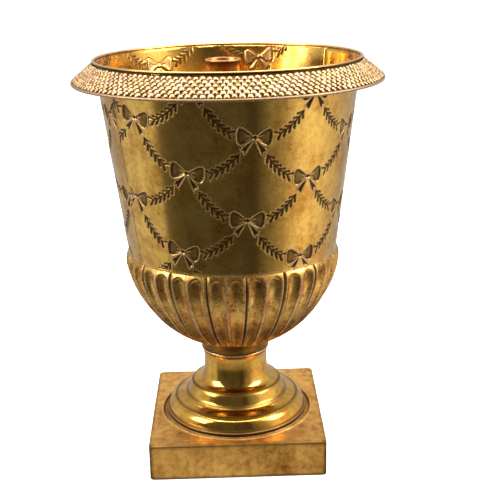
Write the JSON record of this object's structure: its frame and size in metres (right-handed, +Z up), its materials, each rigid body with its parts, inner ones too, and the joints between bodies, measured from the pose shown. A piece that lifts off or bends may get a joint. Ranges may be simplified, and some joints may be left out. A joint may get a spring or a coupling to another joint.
{
  "type": "footed metal planter",
  "caption": "Urn-shaped brass planter with embossed bows and leaf garlands, a fluted bowl, a beaded rim band, a spun foot and a square plinth.",
  "frame": {"origin": "middle of the plinth's underside, on the surface it stands on", "axes": "+Z up along the urn's axis, -Y is the front, and the plinth's sides run along X and Y"},
  "size_m": [0.2214, 0.2214, 0.2994],
  "materials": {
    "satin_brass": "aged satin brass sheet, mottled gold-brown with dark folded edges",
    "polished_brass": "spun and polished brass with dark tarnish in the mouldings",
    "embossed_brass": "polished brass sheet with tarnish in the pressed pattern",
    "beaded_brass": "pale worn brass beads over dark gaps",
    "copper": "red-brown copper tube, semi-bright"
  },
  "bodies": {
    "root": {"plinth": "satin_brass", "foot": "polished_brass", "body": "embossed_brass", "rim_band": "beaded_brass", "centre_tube": "copper"}
  },
  "joints": []
}
